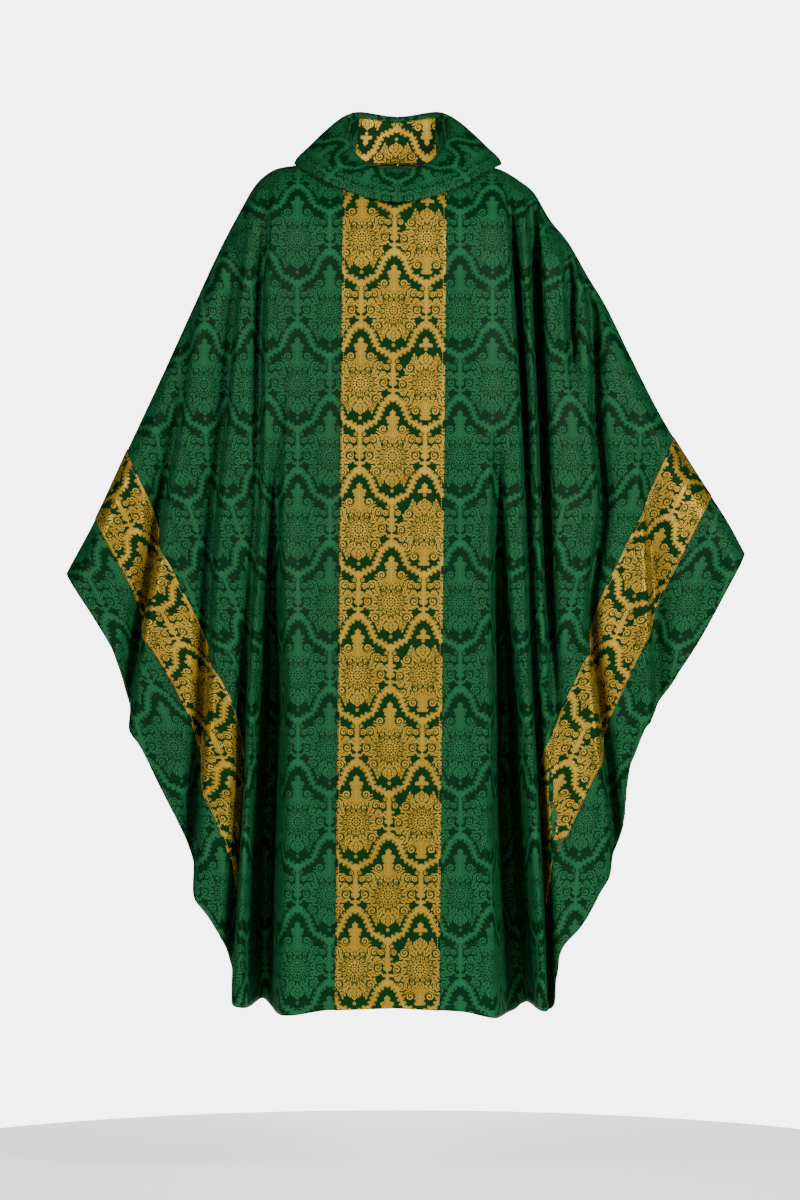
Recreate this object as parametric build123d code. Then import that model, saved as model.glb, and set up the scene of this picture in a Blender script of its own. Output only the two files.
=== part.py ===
from build123d import *
import os
from math import cos, exp, pi, radians, sin, sqrt

# A full Gothic chasuble as it hangs on a wearer, arms a little away from the body.
# Frame: millimetres, +Z up, +X to the viewer's right, the front faces -Y.
# Origin: centre of the neck opening, at the height of the neck seam's sides.

# Cloth layers, as distances outwards from the face side of the main cloth
CLOTH = 1.0
LINING = 0.6
TRIM = 0.8
LINING_OFFSET = -1.4
FACING_OFFSET = -3.0
TRIM_OFFSET = CLOTH + 0.8
SEAM_GAP = 1.0

# Closeness of the smooth faces to their points, and the number of points across and down a half face
FIT = 0.05
GRID = (37, 25)

# Neck seam, an oval that is low in front and high behind
NECK_HALF_WIDTH = 98.0
NECK_FRONT_Y = -92.0
NECK_BACK_Y = 75.0
NECK_FRONT_Z = -25.0
NECK_BACK_Z = 28.0
NECK_CORNER = 82.0

# How far the cloth stands from the shoulder line as it hangs
CHEST_STAND = 126.0
FRONT_FLARE = 38.0
BACK_STAND = 114.0
BACK_FLARE = 34.0
ARM_STAND = 56.0
BODY_HALF_WIDTH = 250.0
SHOULDER_ROUND = 150.0
ARM_ROUND = 66.0
# The cloth of both faces starts this far below the shoulder line
SEAM_DROP = 0.02

# Shoulder and arm line: distance from the centre line, height
SHOULDER_LINE = {
    "left": [(98, 16), (160, 19), (202, 6), (243, -54), (318, -209), (422, -434), (513, -617)],
    "right": [(98, 14), (165, 13), (217, -23), (271, -101), (364, -271), (473, -465), (546, -586)],
}
# Sleeve edge from the wrist corner down, and the hem from the centre line out to it
SLEEVE_EDGE = {
    "left": [(513, -617), (465, -690), (422, -790), (411, -853)],
    "right": [(546, -586), (473, -721), (411, -815), (380, -880)],
}
HEM = {
    "left": [(0, -1284), (190, -1290), (250, -1262), (292, -1150), (330, -1010), (411, -853)],
    "right": [(0, -1284), (190, -1294), (246, -1268), (300, -1150), (346, -1020), (380, -880)],
}
HEM_CENTRE_Z = -1284.0

# Trim: the centre orphrey and the sleeve bands, each band a strip from the arm line to the side fold
ORPHREY_HALF_WIDTH = 80.0
ORPHREY_UNDERLAP = 12.0
ORPHREY_LEAN = -12.0
ORPHREY_DROP = 6.0
BAND_DROP = 4.0
BAND_CORNERS = {
    "left": [(422, -436), (465, -529), (246, -1087), (236, -893)],
    "right": [(432, -398), (489, -494), (231, -1121), (220, -936)],
}

# Side folds of the skirt: distance from the centre line, depth of fold (+ is towards the body), width
SIDE_FOLDS = [(208, 26, 24), (250, -12, 20), (330, 7, 30)]
FOLD_START_Z = -300.0
FOLD_FULL_Z = -950.0

# Turned-down collar: heights are (turn from the front in degrees, height)
RIM_HALF_WIDTH = 88.0
RIM_FRONT = 88.0
RIM_BACK = 72.0
RIM_HEIGHTS = [(0, 3), (37, 18), (62, 46), (90, 80), (125, 104), (180, 101)]
FALL_HALF_WIDTH = 162.0
FALL_FRONT = 128.0
FALL_BACK = 122.0
FALL_HEIGHTS = [(0, -47), (32, -25), (55, 2), (90, 25), (135, 18), (180, 8)]
NECK_HEIGHTS = [(0, -25), (45, -14), (90, 13), (135, 23), (180, 28)]
COLLAR_CLOTH = 1.4
COLLAR_CENTRE_X = 4.0
BACK_INSERT_FROM = 132.0
FALL_BOW = 5.0
INTERLINING_INSIDE = 3.0
COLLAR_FACING_INSIDE = 4.0
SEAM_TURN = 0.4
NECK_EASE = 9.0
BINDING_HEIGHT = 14.0

# Inner pieces
HEM_FACING_FROM = 0.965
HEM_FACING_REACH = 0.5
SLEEVE_FACING_FROM = 0.93
SHOULDER_TAPE_END = 225.0
SHOULDER_TAPE_DROP = 6.0
SHOULDER_TAPE_HALF = 6.0
LABEL_HALF_WIDTH = 24.0
LABEL_TOP = -22.0
LABEL_HEIGHT = 26.0

SIDES = {"left": -1, "right": 1}
FACES = {"front": -1, "back": 1}


def clamp(value, low, high):
    return max(low, min(high, value))


def ease(start, end, value):
    step = clamp((value - start) / (end - start), 0.0, 1.0)
    return step * step * (3.0 - 2.0 * step)


def curve_at(points, x):
    """Height of a smooth line through points of rising x."""
    last = len(points) - 1
    x = clamp(x, points[0][0], points[last][0])
    i = 0
    while i < last - 1 and x > points[i + 1][0]:
        i += 1
    (x0, y0), (x1, y1) = points[i], points[i + 1]
    width = x1 - x0
    slope = (y1 - y0) / width
    before = slope if i == 0 else (y1 - points[i - 1][1]) / (x1 - points[i - 1][0])
    after = slope if i + 1 == last else (points[i + 2][1] - y0) / (points[i + 2][0] - x0)
    u = (x - x0) / width
    rise = u * u * (3 - 2 * u)
    return y0 + (y1 - y0) * rise + width * (before * u * (1 - u) ** 2 - after * u * u * (1 - u))


def path_at(edge, share):
    point = edge.position_at(share)
    return point.X, point.Y


def shoulder_z(face, side, x):
    """Height of the top edge of a face: the neck seam, then the shoulder and arm."""
    side_z = SHOULDER_LINE[side][0][1]
    if x >= NECK_HALF_WIDTH:
        return curve_at(SHOULDER_LINE[side], x)
    centre_z = NECK_FRONT_Z if face == "front" else NECK_BACK_Z
    return side_z + (centre_z - side_z) * (1 - (x / NECK_HALF_WIDTH) ** 2) ** 1.5


def folds(x, z):
    """Depth of the side folds, which fade out towards the chest."""
    grown = ease(FOLD_START_Z, FOLD_FULL_Z, z)
    return grown * sum(depth * exp(-(((x - at) / width) ** 2)) for at, depth, width in SIDE_FOLDS)


def cloth_y(face, side, x, z):
    """Distance of the cloth in front of or behind the shoulder line, at x from the centre and height z."""
    drop = max(shoulder_z(face, side, x) - z, 0.0)
    if face == "front":
        stand = CHEST_STAND + FRONT_FLARE * ease(-200, HEM_CENTRE_Z, z)
        neck = abs(NECK_FRONT_Y)
    else:
        stand = BACK_STAND + BACK_FLARE * ease(-200, HEM_CENTRE_Z, z)
        neck = NECK_BACK_Y
    body = 1 / (1 + (x / BODY_HALF_WIDTH) ** 4)
    hang = ARM_STAND + (stand - ARM_STAND) * body
    top = neck * exp(-((x / NECK_CORNER) ** 4)) + SEAM_GAP
    reach = ARM_ROUND + (SHOULDER_ROUND - ARM_ROUND) * body
    rounded = sqrt(1 - (1 - min(drop / reach, 1.0)) ** 2)
    return FACES[face] * (top + (hang - top) * rounded - folds(x, z))


def cloth_point(face, side, x, z, offset=0.0):
    """A point of the draped face, moved outwards from it by offset."""
    z = min(z, shoulder_z(face, side, x) - SEAM_DROP)
    step = 0.3
    y = cloth_y(face, side, x, z)
    across = (cloth_y(face, side, x + step, z) - cloth_y(face, side, abs(x - step), z)) / (2 * step)
    down = (y - cloth_y(face, side, x, z - step)) / step
    if x < step:
        across = 0.0
    outwards = FACES[face] * offset / sqrt(1 + across**2 + down**2)
    return Vector(SIDES[side] * (x - across * outwards), y + outwards, z - down * outwards)


def smooth_face(rows):
    return Face.make_surface_from_array_of_points(rows, tol=FIT)


def sheet(inside_rows, outside_rows):
    """A thin closed solid between two grids of points, with narrow faces along its edges."""
    inside = smooth_face(inside_rows)
    outside = smooth_face(outside_rows)
    edges = []
    for edge in inside.edges():
        middle = edge.position_at(0.5)
        opposite = min(outside.edges(), key=lambda other: (other.position_at(0.5) - middle).length)
        edges.append(Face.make_surface_from_curves(edge, opposite))
    return Solid(Shell([inside, outside, *edges]))


def shares(start, end, count):
    return [start + (end - start) * i / (count - 1) for i in range(count)]


def hem_and_sleeve(side):
    """The hem curve from the centre line and the sleeve edge curve from the wrist, as (x, z)."""
    hem = Spline(*[Vector(x, z) for x, z in HEM[side]])
    sleeve = Spline(*[Vector(x, z) for x, z in SLEEVE_EDGE[side]])
    return hem, sleeve


def pattern_point(face, side, curves, inner_x, across, down):
    """Place (x, z) on a half face: across from inner_x to the sleeve edge, down to the hem."""
    hem, sleeve = curves
    wrist = SLEEVE_EDGE[side][0]
    corner = SLEEVE_EDGE[side][-1]
    top_x = inner_x + (wrist[0] - inner_x) * across
    top = (top_x, shoulder_z(face, side, top_x))
    start = inner_x / hem.length
    bottom = path_at(hem, start + (1 - start) * across)
    inner_top = (inner_x, shoulder_z(face, side, inner_x))
    inner_bottom = path_at(hem, start)
    edge = path_at(sleeve, down)
    place = []
    for i in range(2):
        inner = inner_top[i] + (inner_bottom[i] - inner_top[i]) * down
        between_ends = (1 - down) * top[i] + down * bottom[i]
        between_sides = (1 - across) * inner + across * edge[i]
        corners = (1 - across) * inner + across * ((1 - down) * wrist[i] + down * corner[i])
        place.append(between_ends + between_sides - corners)
    return place


def half_face_rows(face, side, offset, inner_x=0.0, across=(0.0, 1.0), down=(0.0, 1.0), grid=GRID):
    """Rows of points on one half of a face, closer together near the shoulder line."""
    curves = hem_and_sleeve(side)
    rows = []
    for v in shares(sqrt(down[0]), sqrt(down[1]), grid[1]):
        places = [pattern_point(face, side, curves, inner_x, u, v * v) for u in shares(*across, grid[0])]
        rows.append([cloth_point(face, side, x, z, offset) for x, z in places])
    return rows


def whole_face_rows(face, offset, across=1.0, down=(0.0, 1.0), grid=GRID):
    """Rows of points from the left sleeve to the right one."""
    left = half_face_rows(face, "left", offset, across=(0.0, across), down=down, grid=grid)
    right = half_face_rows(face, "right", offset, across=(0.0, across), down=down, grid=grid)
    return [list(reversed(left_row))[:-1] + right_row for left_row, right_row in zip(left, right)]


def panel(face, side):
    """Main cloth of one side, from under the orphrey's edge to the sleeve."""
    inner_x = ORPHREY_HALF_WIDTH - ORPHREY_UNDERLAP
    return sheet(*[half_face_rows(face, side, offset, inner_x) for offset in (0.0, CLOTH)])


def lining(face):
    return sheet(*[whole_face_rows(face, LINING_OFFSET + depth) for depth in (0.0, LINING)])


def orphrey_rows(face, offset):
    rows = []
    for v in shares(0.0, 1.0, 29):
        row = []
        for u in shares(-1.0, 1.0, 9):
            x = u * ORPHREY_HALF_WIDTH + ORPHREY_LEAN * v * v
            side = "left" if x < 0 else "right"
            top = shoulder_z(face, side, abs(x)) - ORPHREY_DROP
            z = top + (HEM_CENTRE_Z - top) * v * v
            row.append(cloth_point(face, side, abs(x), z, offset))
        rows.append(row)
    return rows


def orphrey(face):
    """Straight brocade strip down the centre, joining the two panels."""
    return sheet(*[orphrey_rows(face, TRIM_OFFSET + depth) for depth in (0.0, TRIM)])


def band_rows(face, side, offset):
    inner_top, outer_top, outer_end, inner_end = BAND_CORNERS[side]
    rows = []
    for v in shares(0.0, 1.0, 29):
        inner = [a + (b - a) * v * v for a, b in zip(inner_top, inner_end)]
        outer = [a + (b - a) * v * v for a, b in zip(outer_top, outer_end)]
        row = []
        for u in shares(0.0, 1.0, 9):
            x, z = [a + (b - a) * u for a, b in zip(inner, outer)]
            z = min(z, shoulder_z(face, side, x) - BAND_DROP)
            row.append(cloth_point(face, side, x, z, offset))
        rows.append(row)
    return rows


def band(face, side):
    """Straight brocade strip across the sleeve, from the arm line down to the side fold."""
    return sheet(*[band_rows(face, side, TRIM_OFFSET + depth) for depth in (0.0, TRIM)])


def hem_facing(face):
    """Turned-up strip inside the skirt's hem."""
    down = (HEM_FACING_FROM, 0.998)
    offsets = (FACING_OFFSET, FACING_OFFSET + LINING)
    return sheet(*[whole_face_rows(face, offset, HEM_FACING_REACH, down, (25, 5)) for offset in offsets])


def sleeve_facing(face, side):
    """Turned-in strip inside the sleeve edge."""
    across = (SLEEVE_FACING_FROM, 0.998)
    down = (0.06, 0.99)
    offsets = (FACING_OFFSET, FACING_OFFSET + LINING)
    return sheet(*[half_face_rows(face, side, offset, 0.0, across, down, (5, 19)) for offset in offsets])


def tape_rows(side, drop):
    rows = []
    for x in shares(NECK_HALF_WIDTH + 14, SHOULDER_TAPE_END, 9):
        z = shoulder_z("front", side, x) - drop
        places_y = shares(-SHOULDER_TAPE_HALF, SHOULDER_TAPE_HALF, 4)
        rows.append([Vector(SIDES[side] * x, y, z) for y in places_y])
    return rows


def shoulder_tape(side):
    """Narrow tape inside the shoulder seam, which keeps it from stretching."""
    return sheet(*[tape_rows(side, SHOULDER_TAPE_DROP + depth) for depth in (0.0, LINING)])


def label_rows(offset):
    rows = []
    for z in shares(LABEL_TOP, LABEL_TOP - LABEL_HEIGHT, 4):
        row = []
        for x in shares(-LABEL_HALF_WIDTH, LABEL_HALF_WIDTH, 7):
            side = "left" if x < 0 else "right"
            row.append(cloth_point("back", side, abs(x), z, offset))
        rows.append(row)
    return rows


def neck_label():
    """Blank cloth label inside the back, below the neck."""
    return sheet(label_rows(FACING_OFFSET), label_rows(FACING_OFFSET + LINING))


def oval(turn, half_width, front, back, z):
    """A point on an oval round the neck: turn 0 is the front, 90 the right, 180 the back."""
    angle = radians(turn)
    depth = back + (front - back) * (1 + cos(angle)) / 2
    return Vector(half_width * sin(angle), -depth * cos(angle), z)


def round_height(heights, turn):
    """Height at a turn, from a list that runs from the front to the back and is the same on both sides."""
    before = (-heights[1][0], heights[1][1])
    after = (360 - heights[-2][0], heights[-2][1])
    return curve_at([before, *heights, after], min(turn, 360 - turn))


def neck_seam(turn, inside=0.0, lower=0.0):
    """A point just inside the neck seam."""
    z = round_height(NECK_HEIGHTS, turn) - lower
    ease = NECK_EASE + inside
    return oval(turn, NECK_HALF_WIDTH - ease, -NECK_FRONT_Y - ease, NECK_BACK_Y - ease, z)


def rim(turn, inside=0.0):
    """A point of the collar's rolled rim."""
    z = round_height(RIM_HEIGHTS, turn)
    point = oval(turn, RIM_HALF_WIDTH - inside, RIM_FRONT - inside, RIM_BACK - inside, z)
    return point + Vector(COLLAR_CENTRE_X, 0, 0)


def fall_edge(turn, inside=0.0):
    """A point of the collar's lower outer edge."""
    z = round_height(FALL_HEIGHTS, turn)
    point = oval(turn, FALL_HALF_WIDTH - inside, FALL_FRONT - inside, FALL_BACK - inside, z)
    return point + Vector(COLLAR_CENTRE_X, 0, 0)


def fall_rows(turns, heights, inside):
    """Rows of points down the collar's fall, bowed a little outwards."""
    rows = []
    for share in shares(*heights, 9):
        bow = FALL_BOW * sin(pi * share)
        row = []
        for turn in turns:
            top = rim(turn, inside)
            bottom = fall_edge(turn, inside)
            bowed = Vector(bow * sin(radians(turn)), -bow * cos(radians(turn)), bow)
            row.append(top + (bottom - top) * share + bowed)
        rows.append(row)
    return rows


def half_turns(side, count):
    """Turns from the front seam to the back seam on one side."""
    turns = shares(SEAM_TURN, 180 - SEAM_TURN, count)
    return turns if side == "right" else [360 - turn for turn in turns]


def collar_fall(side):
    """Outer half of the turned-down collar, seamed at the centre front and back."""
    turns = half_turns(side, 31)
    return sheet(*[fall_rows(turns, (0.0, 1.0), inside) for inside in (COLLAR_CLOTH, 0.0)])


def collar_interlining(side):
    """Stiff cloth inside one half of the collar's fall."""
    turns = half_turns(side, 31)
    insides = (INTERLINING_INSIDE + LINING, INTERLINING_INSIDE)
    return sheet(*[fall_rows(turns, (0.1, 0.9), inside) for inside in insides])


def collar_facing_rows(turns, inside):
    rows = []
    for share in shares(0.0, 1.0, 7):
        row = []
        for turn in turns:
            top = rim(turn, COLLAR_FACING_INSIDE + inside)
            row.append(top + (neck_seam(turn, inside) - top) * share)
        rows.append(row)
    return rows


def collar_facing(first_turn, last_turn):
    """Inside of the collar, from the rim down to the neck seam."""
    turns = shares(first_turn, last_turn, 21)
    return sheet(collar_facing_rows(turns, LINING), collar_facing_rows(turns, 0.0))


def neck_binding(side):
    """Half of the bias strip over the inside of the neck seam."""
    turns = half_turns(side, 21)
    lowers = shares(2.0, BINDING_HEIGHT, 4)
    inside_rows = [[neck_seam(turn, LINING, lower) for turn in turns] for lower in lowers]
    outside_rows = [[neck_seam(turn, 0.0, lower) for turn in turns] for lower in lowers]
    return sheet(inside_rows, outside_rows)


def all_parts():
    parts = {}
    for face in FACES:
        parts[f"{face}_lining"] = lining(face)
        parts[f"{face}_orphrey"] = orphrey(face)
        parts[f"{face}_hem_facing"] = hem_facing(face)
        for side in SIDES:
            parts[f"{face}_{side}_panel"] = panel(face, side)
            parts[f"{face}_{side}_band"] = band(face, side)
            parts[f"{face}_{side}_sleeve_facing"] = sleeve_facing(face, side)
    for side in SIDES:
        parts[f"{side}_shoulder_tape"] = shoulder_tape(side)
        parts[f"{side}_collar_fall"] = collar_fall(side)
        parts[f"{side}_neck_binding"] = neck_binding(side)
        parts[f"{side}_collar_interlining"] = collar_interlining(side)
    parts["right_collar_facing"] = collar_facing(SEAM_TURN, BACK_INSERT_FROM)
    parts["back_collar_insert"] = collar_facing(BACK_INSERT_FROM + 1, 359 - BACK_INSERT_FROM)
    parts["left_collar_facing"] = collar_facing(360 - BACK_INSERT_FROM, 360 - SEAM_TURN)
    parts["neck_label"] = neck_label()
    return parts


os.makedirs("parts", exist_ok=True)
for name, solid in all_parts().items():
    solid.label = name
    export_step(solid, f"parts/{name}.step")
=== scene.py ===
import math

import bmesh
import bpy
import numpy as np
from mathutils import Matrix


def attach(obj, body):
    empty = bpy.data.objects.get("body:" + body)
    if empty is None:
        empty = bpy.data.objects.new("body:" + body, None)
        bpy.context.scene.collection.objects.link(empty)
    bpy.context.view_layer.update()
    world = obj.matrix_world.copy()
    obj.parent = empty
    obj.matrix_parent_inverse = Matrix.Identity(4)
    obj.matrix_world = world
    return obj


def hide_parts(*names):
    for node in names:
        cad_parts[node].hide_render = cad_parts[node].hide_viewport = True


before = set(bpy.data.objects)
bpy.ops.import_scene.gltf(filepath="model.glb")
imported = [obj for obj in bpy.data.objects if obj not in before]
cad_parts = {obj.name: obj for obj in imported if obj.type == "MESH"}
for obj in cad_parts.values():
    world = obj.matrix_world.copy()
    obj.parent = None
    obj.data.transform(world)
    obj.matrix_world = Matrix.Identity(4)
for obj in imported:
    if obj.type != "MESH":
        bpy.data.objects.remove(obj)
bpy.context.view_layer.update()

# Everything is in metres, in the part's frame: +Z up, the front faces -Y, the origin is in the neck opening.
SIDES = {"left": -1.0, "right": 1.0}
FACES = {"front": -1.0, "back": 1.0}

# ---- the garment's lines


def metres(value):
    """The same numbers, lines or tables of lines, from millimetres."""
    if isinstance(value, dict):
        return {key: metres(part) for key, part in value.items()}
    if isinstance(value, (list, tuple)):
        return type(value)(metres(part) for part in value)
    return value / 1000


# Shoulder and arm line on each side, in millimetres: distance from the centre line, height
SHOULDER_LINE = metres({
    "left": [(98, 16), (160, 19), (194, 10), (217, -10), (243, -54), (268, -101), (318, -209),
        (364, -310), (422, -434), (465, -527), (513, -617)],
    "right": [(98, 14), (165, 13), (194, -4), (217, -23), (240, -62), (271, -101), (302, -155),
        (326, -194), (364, -271), (411, -364), (473, -465), (527, -550), (546, -586)],
})
# Hem from the centre line outwards and up to the sleeve's lower corner, in millimetres like the sleeve edge,
# which runs from the wrist down to that corner
HEM = metres({
    "left": [(0, -1282), (100, -1286), (186, -1291), (206, -1280), (228, -1288), (242, -1284),
        (252, -1230), (262, -1192), (279, -1163), (300, -1128), (310, -1077), (326, -1022), (349, -977),
        (380, -915), (406, -855)],
    "right": [(0, -1282), (100, -1288), (186, -1297), (206, -1284), (224, -1292), (236, -1294),
        (248, -1240), (258, -1196), (287, -1163), (318, -1108), (336, -1060), (352, -1010), (360, -927),
        (375, -890)],
})
SLEEVE_EDGE = metres({
    "left": [(513, -617), (490, -652), (465, -690), (428, -758), (414, -814), (406, -855)],
    "right": [(546, -586), (520, -634), (473, -721), (411, -815), (388, -853), (375, -890)],
})

NECK_HALF_WIDTH = 0.098
NECK_CORNER = 0.082
NECK_DEPTH = {"front": 0.092, "back": 0.075}
NECK_HEIGHT = {"front": -0.025, "back": 0.028}
BODY_STAND = {"front": 0.126, "back": 0.114}
HEM_FLARE = {"front": 0.038, "back": 0.034}
ARM_STAND = 0.056
BODY_HALF_WIDTH = 0.250
SHOULDER_ROUND = 0.150
ARM_ROUND = 0.066
HEM_Z = -1.284
# Folds grow in over this much of a fall below the shoulder line
FOLD_GROWS_OVER = 0.045

ORPHREY_HALF_WIDTH = 0.080
PANEL_UNDERLAP = 0.012
ORPHREY_LEAN = -0.012


def run_lengths(steps):
    """Distance along a line at each of its points, from the lengths of its steps."""
    return np.concatenate([[0.0], np.cumsum(steps)])


def cubic(values, slopes, i, share, width):
    """Smooth values between the neighbours i and i + 1, at shares of the width between them."""
    rise = share * share * (3 - 2 * share)
    bend = slopes[i] * share * (1 - share) ** 2 - slopes[i + 1] * share * share * (1 - share)
    return values[i] + (values[i + 1] - values[i]) * rise + width * bend


def smooth_line(points, at):
    """Smooth curve through points of rising first value, read at one or many places."""
    xs, ys = np.array(points).T
    at = np.clip(at, xs[0], xs[-1])
    i = np.clip(np.searchsorted(xs, at) - 1, 0, len(xs) - 2)
    width = xs[i + 1] - xs[i]
    return cubic(ys, np.gradient(ys, xs), i, (at - xs[i]) / width, width)


def along(points, share):
    """Places (x, z) at shares of the length of an open line."""
    points = np.array(points)
    lengths = run_lengths(np.hypot(*np.diff(points, axis=0).T))
    lengths /= lengths[-1]
    return [smooth_line(list(zip(lengths, points[:, i])), share) for i in range(2)]


def ease(start, end, value):
    step = np.clip((value - start) / (end - start), 0.0, 1.0)
    return step * step * (3.0 - 2.0 * step)


# ---- folds

def fold(path, depth, near, far, lean):
    """A valley line down the cloth, given from the top in millimetres and kept in metres from the bottom.

    path is (height, distance from the centre), depth is (height, depth towards the body). near and far are
    half widths towards the centre and the sleeve, one number or (height, half width). lean is how far the
    crest on the centre's side hangs over the valley, in shares of the near width.
    """
    lines = [sorted(metres(line)) if isinstance(line, list) else metres(line)
             for line in (path, depth, near, far)]
    return dict(zip(("path", "depth", "near", "far"), lines), lean=lean)


FOLDS = {
    ("front", "left"): [
        fold([(-300, 174), (-520, 184), (-660, 187), (-800, 187), (-940, 192), (-1080, 197),
            (-1290, 201)],
             [(-300, 0), (-420, 10), (-520, 26), (-660, 54), (-800, 84), (-950, 106), (-1290, 120)],
             [(-300, 10), (-520, 11), (-660, 16), (-800, 21), (-1290, 24)],
             [(-300, 12), (-520, 12), (-660, 16), (-800, 21), (-1290, 24)], 0.25),
        fold([(0, 196), (-120, 200), (-240, 204), (-380, 207), (-520, 212), (-660, 219), (-800, 228),
            (-940, 233), (-1080, 241), (-1280, 252)],
             [(20, 0), (-70, 12), (-200, 24), (-350, 22), (-520, 18), (-660, 26), (-800, 42), (-1080, 50),
                 (-1280, 46)],
             9, 16, 0.8),
        fold([(-100, 236), (-240, 250), (-380, 262), (-520, 276), (-660, 284), (-810, 290), (-970, 302),
            (-1130, 315)],
             [(-80, 0), (-180, 18), (-300, 22), (-520, 28), (-700, 32), (-900, 42), (-1150, 44)],
             10, 22, 0.8),
        fold([(-140, 304), (-190, 312), (-350, 330), (-500, 356), (-600, 371), (-710, 393), (-860, 414)],
             [(-140, 0), (-200, 10), (-350, 18), (-500, 28), (-620, 36), (-860, 38)],
             11, 22, 0.8),
    ],
    ("front", "right"): [
        fold([(-400, 158), (-520, 160), (-660, 163), (-800, 170), (-940, 173), (-1080, 179), (-1200, 186),
            (-1290, 190)],
             [(-380, 0), (-450, 14), (-520, 28), (-660, 56), (-800, 86), (-950, 108), (-1290, 122)],
             [(-400, 10), (-660, 15), (-800, 20), (-1080, 26), (-1290, 30)],
             [(-400, 8), (-660, 12), (-800, 16), (-1080, 22), (-1290, 27)], 0.1),
        fold([(-20, 174), (-100, 180), (-190, 186), (-380, 197), (-610, 206), (-780, 212), (-910, 220),
            (-1070, 229), (-1180, 234), (-1290, 238)],
             [(0, 0), (-60, 16), (-140, 30), (-350, 34), (-500, 24), (-750, 26), (-920, 40), (-1290, 56)],
             8, 10, 0.6),
        fold([(0, 206), (-100, 212), (-240, 218), (-380, 225), (-520, 230), (-660, 236), (-800, 245),
            (-1000, 250)],
             [(10, 0), (-50, 20), (-140, 38), (-380, 46), (-550, 42), (-680, 34), (-800, 18), (-1000, 0)],
             9, 12, 0.4),
        fold([(-60, 254), (-120, 265), (-240, 272), (-360, 278)],
             [(-60, 0), (-110, 18), (-240, 24), (-360, 0)],
             8, 11, 0.0),
        fold([(-100, 284), (-170, 296), (-240, 303), (-380, 308), (-520, 318), (-660, 300), (-850, 318),
            (-1000, 336)],
             [(-110, 0), (-170, 22), (-350, 30), (-520, 32), (-800, 34), (-1020, 34)],
             9, 16, 0.6),
        fold([(-360, 384), (-500, 392), (-660, 402), (-800, 406)],
             [(-360, 0), (-450, 10), (-600, 20), (-820, 24)],
             12, 22, 0.5),
    ],
}
BACK_FOLDS = [
    fold([(-250, 150), (-600, 166), (-950, 176), (-1290, 186)],
         [(-200, 0), (-500, 14), (-900, 36), (-1290, 48)],
         20, 24, 0.3),
    fold([(-60, 196), (-350, 212), (-700, 224), (-1000, 236), (-1290, 250)],
         [(-30, 0), (-200, 10), (-600, 26), (-1000, 44), (-1290, 54)],
         14, 22, 0.6),
    fold([(-100, 250), (-450, 276), (-800, 290), (-1150, 312)],
         [(-100, 0), (-400, 12), (-800, 24), (-1150, 28)],
         16, 22, 0.4),
    fold([(-200, 312), (-450, 342), (-700, 380), (-860, 404)],
         [(-200, 0), (-450, 14), (-700, 22), (-900, 22)],
         14, 18, 0.4),
]
FOLDS[("back", "left")] = BACK_FOLDS
FOLDS[("back", "right")] = BACK_FOLDS

# How steep a valley's walls are, on the centre's side and on the sleeve's
NEAR_STEEPNESS = 4.0
FAR_STEEPNESS = 2.6
# The crest beside a valley: its place and half width in shares of the near width, how far it stands out as
# a share of the valley's depth, and the most that it stands out
CREST_AT = 1.6
CREST_WIDTH = 0.9
CREST_SHARE = 0.14
CREST_LIMIT = 0.007
# Where a crest leans over its valley, in shares of the near width, and the depth at which it leans fully
LEAN_AT = 0.9
LEAN_WIDTH = 0.8
FULL_LEAN_DEPTH = 0.03
# Phases of the slow waves, so that the four half faces differ
SIDE_PHASE = {"left": 0.0, "right": 1.7}
FACE_PHASE = {"front": 0.0, "back": 2.3}


def shoulder_z(face, side, x):
    """Height of the top edge of a face: the neck seam, then the shoulder and arm."""
    line = SHOULDER_LINE[side]
    outer = smooth_line(line, x)
    dip = np.clip(1 - (x / NECK_HALF_WIDTH) ** 2, 0, 1) ** 1.5
    neck = line[0][1] + (NECK_HEIGHT[face] - line[0][1]) * dip
    return np.where(x >= NECK_HALF_WIDTH, outer, neck)


def base_stand(face, side, x, z):
    """How far the unfolded cloth stands from the shoulder line."""
    drop = np.maximum(shoulder_z(face, side, x) - z, 0.0)
    body = 1 / (1 + (x / BODY_HALF_WIDTH) ** 4)
    stand = BODY_STAND[face] + HEM_FLARE[face] * ease(-0.2, HEM_Z, z)
    hang = ARM_STAND + (stand - ARM_STAND) * body
    top = NECK_DEPTH[face] * np.exp(-((x / NECK_CORNER) ** 4))
    reach = ARM_ROUND + (SHOULDER_ROUND - ARM_ROUND) * body
    rounded = np.sqrt(1 - (1 - np.minimum(drop / reach, 1.0)) ** 2)
    return top + (hang - top) * rounded


def slow_waves(face, side, x, z):
    """Broad, shallow undulation of hanging cloth."""
    turn = SIDE_PHASE[side] + FACE_PHASE[face]
    fade = ease(0.0, -0.5, z)
    wave = np.sin(x * 48 + turn + 1.6 * z) * 0.0022
    wave += np.sin(x * 27 - 2.2 * z + 2 * turn) * 0.0026
    return wave * fade * ease(0.0, 0.1, x)


def half_width(width, z):
    return smooth_line(width, z) if isinstance(width, list) else width


def hump(value):
    return np.exp(-(value**2))


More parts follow.
